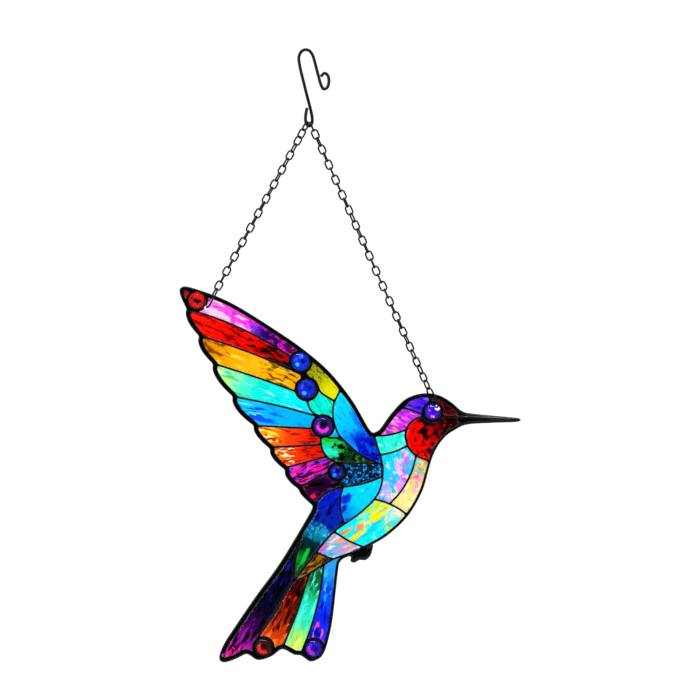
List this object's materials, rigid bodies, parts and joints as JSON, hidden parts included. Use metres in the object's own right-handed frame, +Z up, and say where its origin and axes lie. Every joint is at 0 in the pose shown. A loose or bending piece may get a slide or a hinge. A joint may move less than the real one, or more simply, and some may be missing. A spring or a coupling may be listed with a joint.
{
  "type": "stained glass suncatcher",
  "caption": "Flat leaded-glass hummingbird with coloured panes and domed gems, hung by two fine chains from a bent wire hook.",
  "frame": {"origin": "inside top of the hook's upper bend, where the whole thing hangs", "axes": "+Z up along the hanging line; +X to the right, the way the beak points; -Y towards the viewer, the side with the high gem domes"},
  "size_m": [0.228, 0.0084, 0.4093],
  "materials": {
    "leading": "gloss black leading, slightly uneven like flowed solder",
    "glass_ruby": "flat rolled glass, see-through, streaked and mottled colour",
    "glass_crimson": "flat rolled glass, see-through, streaked and mottled colour",
    "glass_magenta": "flat rolled glass, see-through, streaked and mottled colour",
    "glass_plum": "flat rolled glass, see-through, streaked and mottled colour",
    "glass_violet": "flat rolled glass, see-through, streaked and mottled colour",
    "glass_amber": "flat rolled glass, see-through, streaked and mottled colour",
    "glass_orange": "flat rolled glass, see-through, streaked and mottled colour",
    "glass_ochre": "flat rolled glass, see-through, streaked and mottled colour",
    "glass_lime": "flat rolled glass, see-through, streaked and mottled colour",
    "glass_green": "flat rolled glass, see-through, streaked and mottled colour",
    "glass_cyan": "flat rolled glass, see-through, streaked and mottled colour",
    "glass_turquoise": "flat rolled glass, see-through, streaked and mottled colour",
    "glass_azure": "flat rolled glass, see-through, streaked and mottled colour",
    "glass_royal": "flat rolled glass, see-through, streaked and mottled colour",
    "glass_navy": "flat rolled glass, see-through, streaked and mottled colour",
    "glass_opal": "flat rolled glass, see-through, streaked and mottled colour",
    "glass_lilac": "flat rolled glass, see-through, streaked and mottled colour",
    "gem_ruby": "polished domed glass gem",
    "gem_crimson": "polished domed glass gem",
    "gem_violet": "polished domed glass gem",
    "gem_royal": "polished domed glass gem",
    "gem_navy": "polished domed glass gem",
    "hook_wire": "gloss black round wire",
    "chain_wire": "gloss black round wire"
  },
  "bodies": {
    "root": {"lead_frame": "leading", "wing_tip_pane": "glass_ruby", "pink_feather": "glass_magenta", "red_feather": "glass_ruby", "amber_feather": "glass_amber", "green_feather": "glass_lime", "blue_feather": "glass_azure", "upper_orange_feather": "glass_orange", "lower_orange_feather": "glass_orange", "magenta_feather": "glass_magenta", "plum_feather": "glass_plum", "shoulder_pane": "glass_lime", "covert_pane": "glass_cyan", "long_leaf_pane": "glass_azure", "triangle_pane": "glass_azure", "green_leaf_pane": "glass_green", "flank_pane": "glass_navy", "nape_pane": "glass_violet", "crown_pane": "glass_crimson", "neck_pane": "glass_magenta", "throat_pane": "glass_ruby", "collar_pane": "glass_turquoise", "chest_pane": "glass_cyan", "breast_pane": "glass_opal", "belly_pane": "glass_cyan", "vent_pane": "glass_lilac", "rump_pane": "glass_ochre", "side_pane": "glass_azure", "back_pane": "glass_royal", "navy_tail_feather": "glass_navy", "orange_tail_feather": "glass_orange", "green_tail_feather": "glass_green", "blue_tail_feather": "glass_azure", "wing_tip_gem": "gem_ruby", "upper_wing_gem": "gem_royal", "lower_wing_gem": "gem_royal", "covert_gem": "gem_violet", "flank_gem": "gem_navy", "eye_gem": "gem_violet", "red_tail_gem": "gem_crimson", "violet_tail_gem": "gem_violet", "hook": "hook_wire", "chain_left": "chain_wire", "chain_right": "chain_wire", "end_link_left": "chain_wire", "end_link_right": "chain_wire"}
  },
  "joints": []
}
